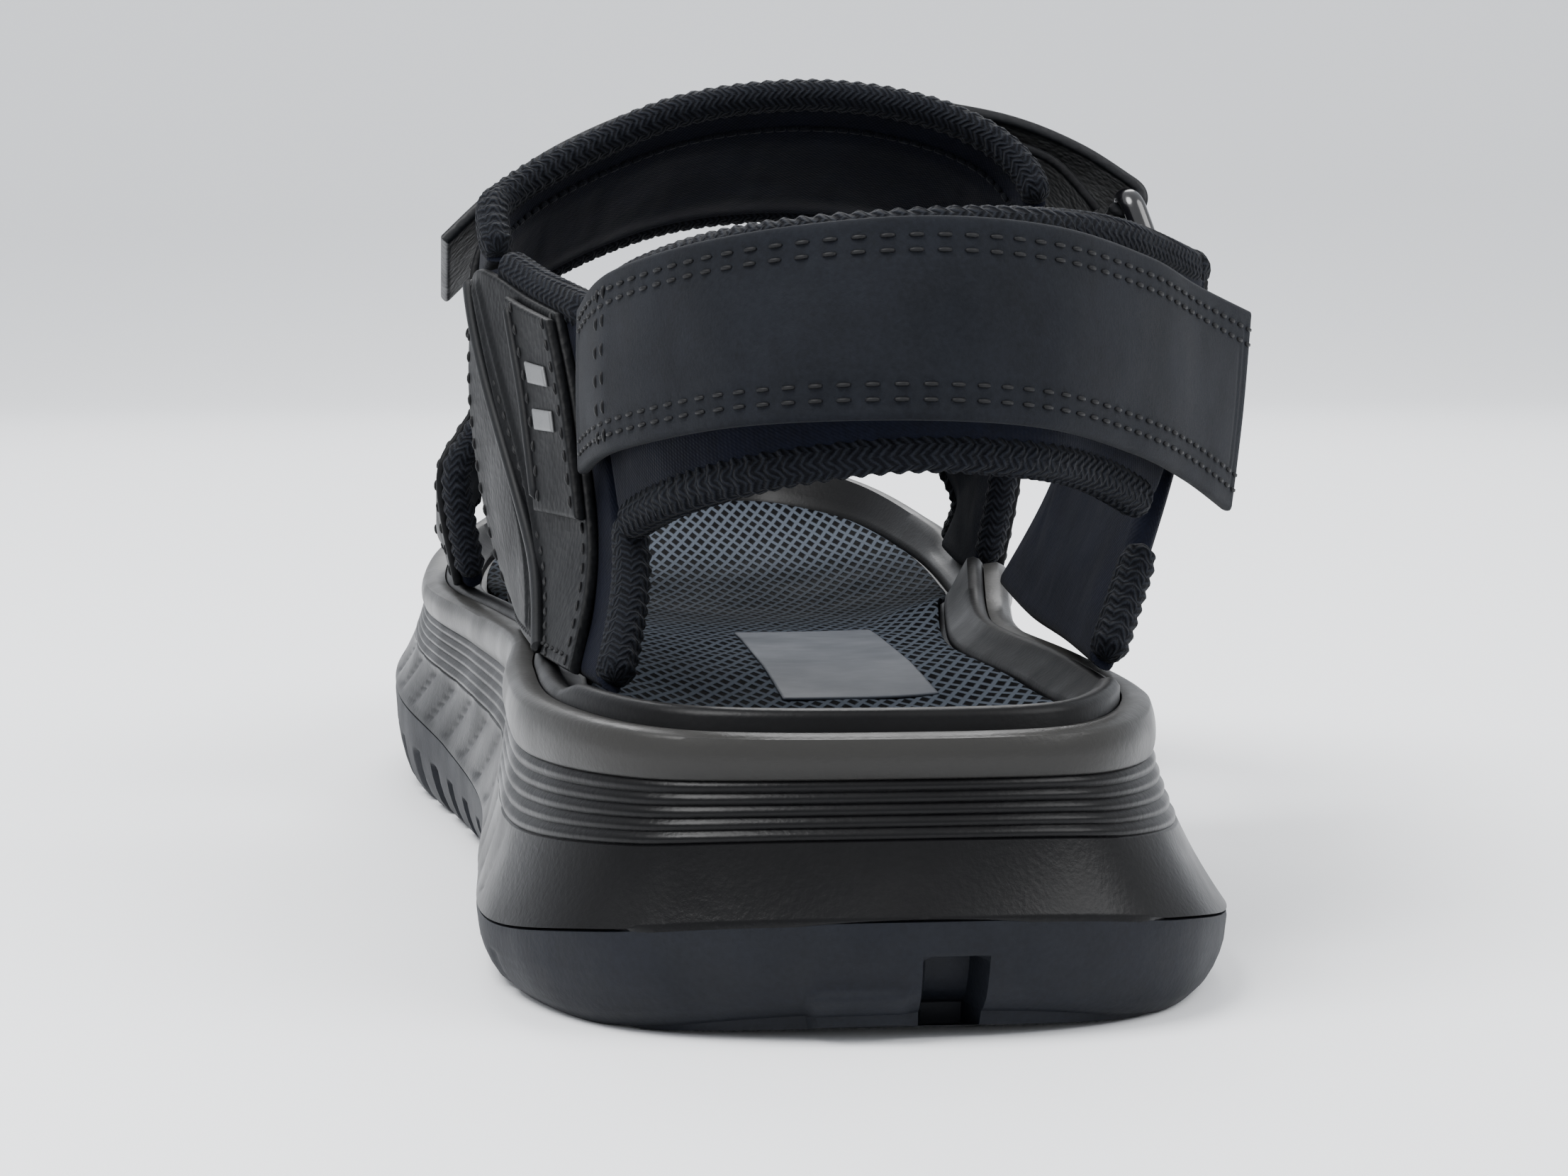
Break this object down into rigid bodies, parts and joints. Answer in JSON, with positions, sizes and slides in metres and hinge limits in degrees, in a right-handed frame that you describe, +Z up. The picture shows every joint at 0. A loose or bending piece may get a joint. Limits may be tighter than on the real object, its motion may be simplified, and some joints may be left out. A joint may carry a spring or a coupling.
{
  "type": "sport sandal",
  "caption": "Left-foot strappy sport sandal: moulded sole with cushioned footbed, padded upper, heel strap and two ring straps with hook-and-loop pads that open",
  "frame": {"origin": "middle of the sole's length, on the ground under the tread's flat part", "axes": "+Y to the toe, +X to the inner (medial) side, +Z up; the tread lies on Z = 0"},
  "size_m": [0.1237, 0.3, 0.1164],
  "materials": {
    "outsole_rubber": "matte",
    "midsole_foam": "matte",
    "footbed_foam": "satin",
    "inlay_mesh": "matte",
    "label_film": "satin",
    "neoprene": "matte",
    "leather": "satin",
    "strap_leather": "matte",
    "welt": "satin",
    "knit_binding": "matte",
    "hook_tape": "matte",
    "loop_tape": "matte",
    "webbing": "matte",
    "ring_plastic": "gloss"
  },
  "bodies": {
    "sandal": {"outsole": "outsole_rubber", "midsole": "midsole_foam", "footbed_frame": "footbed_foam", "footbed_inlay": "inlay_mesh", "footbed_label": "label_film", "lateral_lining": "neoprene", "medial_lining": "neoprene", "heel_band": "neoprene", "instep_pad": "neoprene", "forefoot_lining": "neoprene", "lateral_quarter": "leather", "medial_quarter": "leather", "instep_strap_base": "leather", "forefoot_lateral_panel": "leather", "forefoot_medial_panel": "leather", "forefoot_strap_base": "leather", "heel_strap_anchor": "leather", "lateral_piping": "welt", "lateral_rear_binding": "knit_binding", "lateral_top_binding": "knit_binding", "medial_rear_binding": "knit_binding", "medial_top_binding": "knit_binding", "heel_band_top_binding": "knit_binding", "heel_band_bottom_binding": "knit_binding", "instep_pad_rear_binding": "knit_binding", "instep_pad_front_binding": "knit_binding", "forefoot_rear_binding": "knit_binding", "forefoot_front_binding": "knit_binding", "heel_strap_loop_pad": "loop_tape", "instep_loop_pad": "loop_tape", "forefoot_loop_pad": "loop_tape", "instep_keeper": "webbing", "forefoot_keeper": "webbing"},
    "heel_strap": {"heel_strap": "strap_leather", "heel_strap_hook_pad": "hook_tape"},
    "instep_ring": {"instep_ring": "ring_plastic"},
    "instep_strap": {"instep_strap": "strap_leather", "instep_hook_pad": "hook_tape"},
    "forefoot_ring": {"forefoot_ring": "ring_plastic"},
    "forefoot_strap": {"forefoot_strap": "strap_leather", "forefoot_hook_pad": "hook_tape"}
  },
  "joints": [
    {"name": "heel_strap_swing", "type": "hinge", "parent": "sandal", "child": "heel_strap", "pos_m": [-0.0317, -0.0756, 0.0716], "axis": [0, 0, -1], "range_deg": [0, 100]},
    {"name": "instep_ring_tilt", "type": "hinge", "parent": "sandal", "child": "instep_ring", "pos_m": [0.06258, 0.02229, 0.08231], "axis": [0, 0.9397, -0.342], "range_deg": [0, 12]},
    {"name": "instep_strap_lift", "type": "hinge", "parent": "instep_ring", "child": "instep_strap", "pos_m": [0.059, 0.02657, 0.09405], "axis": [0, 0.9397, -0.342], "range_deg": [0, 110]},
    {"name": "forefoot_ring_tilt", "type": "hinge", "parent": "sandal", "child": "forefoot_ring", "pos_m": [0.04619, 0.05783, 0.06403], "axis": [0, 0.9703, -0.2419], "range_deg": [0, 12]},
    {"name": "forefoot_strap_lift", "type": "hinge", "parent": "forefoot_ring", "child": "forefoot_strap", "pos_m": [0.037, 0.06005, 0.07295], "axis": [0, 0.9703, -0.2419], "range_deg": [0, 110]}
  ]
}
